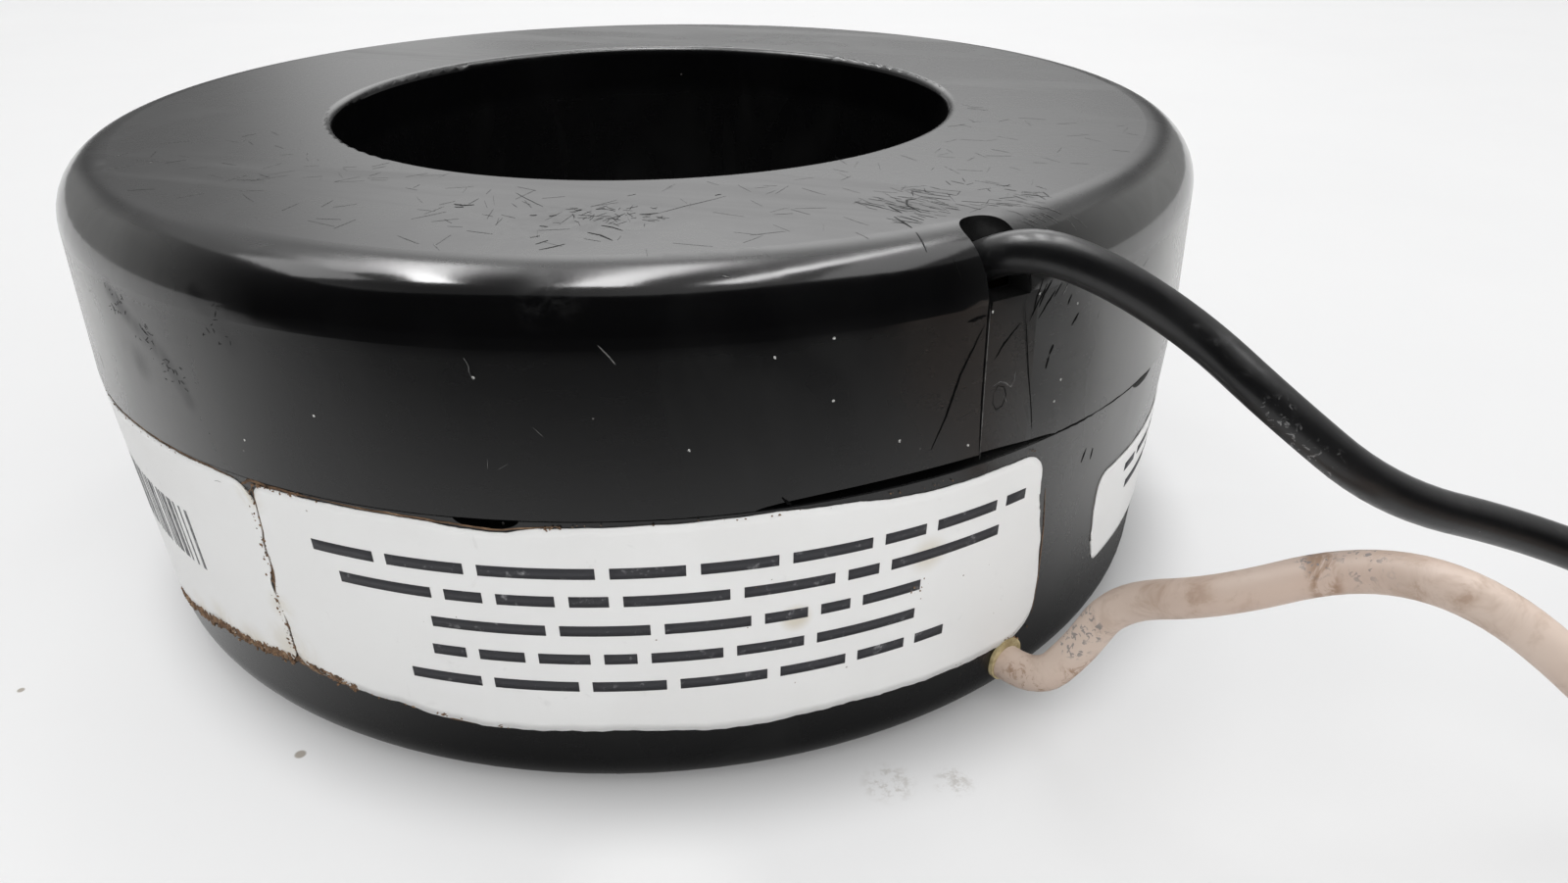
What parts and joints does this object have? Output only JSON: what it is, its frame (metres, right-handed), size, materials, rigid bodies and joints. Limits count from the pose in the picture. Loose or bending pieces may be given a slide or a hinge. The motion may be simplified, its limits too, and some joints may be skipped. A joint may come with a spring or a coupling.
{
  "type": "current transformer",
  "caption": "Window-type current transformer: a round black two-part case with a through window and two flying leads, one black and one white, that end in tied coils.",
  "frame": {"origin": "on the window's axis, at the face the case rests on", "axes": "+Z along the window's axis, up through the case. -Y is the side with the main label, and the leads leave towards -Y and +X"},
  "size_m": [0.198, 0.179, 0.0462],
  "materials": {
    "case_plastic": "satin black moulded thermoplastic",
    "core_steel": "tape-wound silicon steel",
    "cap_plastic": "plain moulded insulation",
    "winding_copper": "enamelled copper wire",
    "pad_rubber": "closed-cell packing",
    "disc_film": "insulating film",
    "splice_metal": "tinned crimp barrel",
    "sleeve_plastic": "shrunk sleeve",
    "black_insulation": "satin black wire insulation, worn",
    "white_insulation": "off-white wire insulation, stained",
    "glue": "yellowed hot-melt",
    "label_vinyl": "white vinyl",
    "tinned_strand": "tinned copper strands",
    "tie_nylon": "natural nylon"
  },
  "bodies": {
    "root": {"case_base": "case_plastic", "case_cover": "case_plastic", "toroid_core": "core_steel", "core_cap_lower": "cap_plastic", "core_cap_upper": "cap_plastic", "secondary_winding": "winding_copper", "base_pad": "pad_rubber", "insulating_disc": "disc_film", "cover_pad": "pad_rubber", "black_splice": "splice_metal", "black_splice_sleeve": "sleeve_plastic", "white_splice": "splice_metal", "white_splice_sleeve": "sleeve_plastic", "black_lead": "black_insulation", "white_lead": "white_insulation", "white_lead_glue": "glue", "main_label": "label_vinyl", "left_label": "label_vinyl", "right_label": "label_vinyl", "black_lead_coil": "black_insulation", "black_lead_tip": "tinned_strand", "black_lead_tie": "tie_nylon", "white_lead_coil": "white_insulation", "white_lead_tip": "tinned_strand", "white_lead_tie": "tie_nylon"}
  },
  "joints": []
}
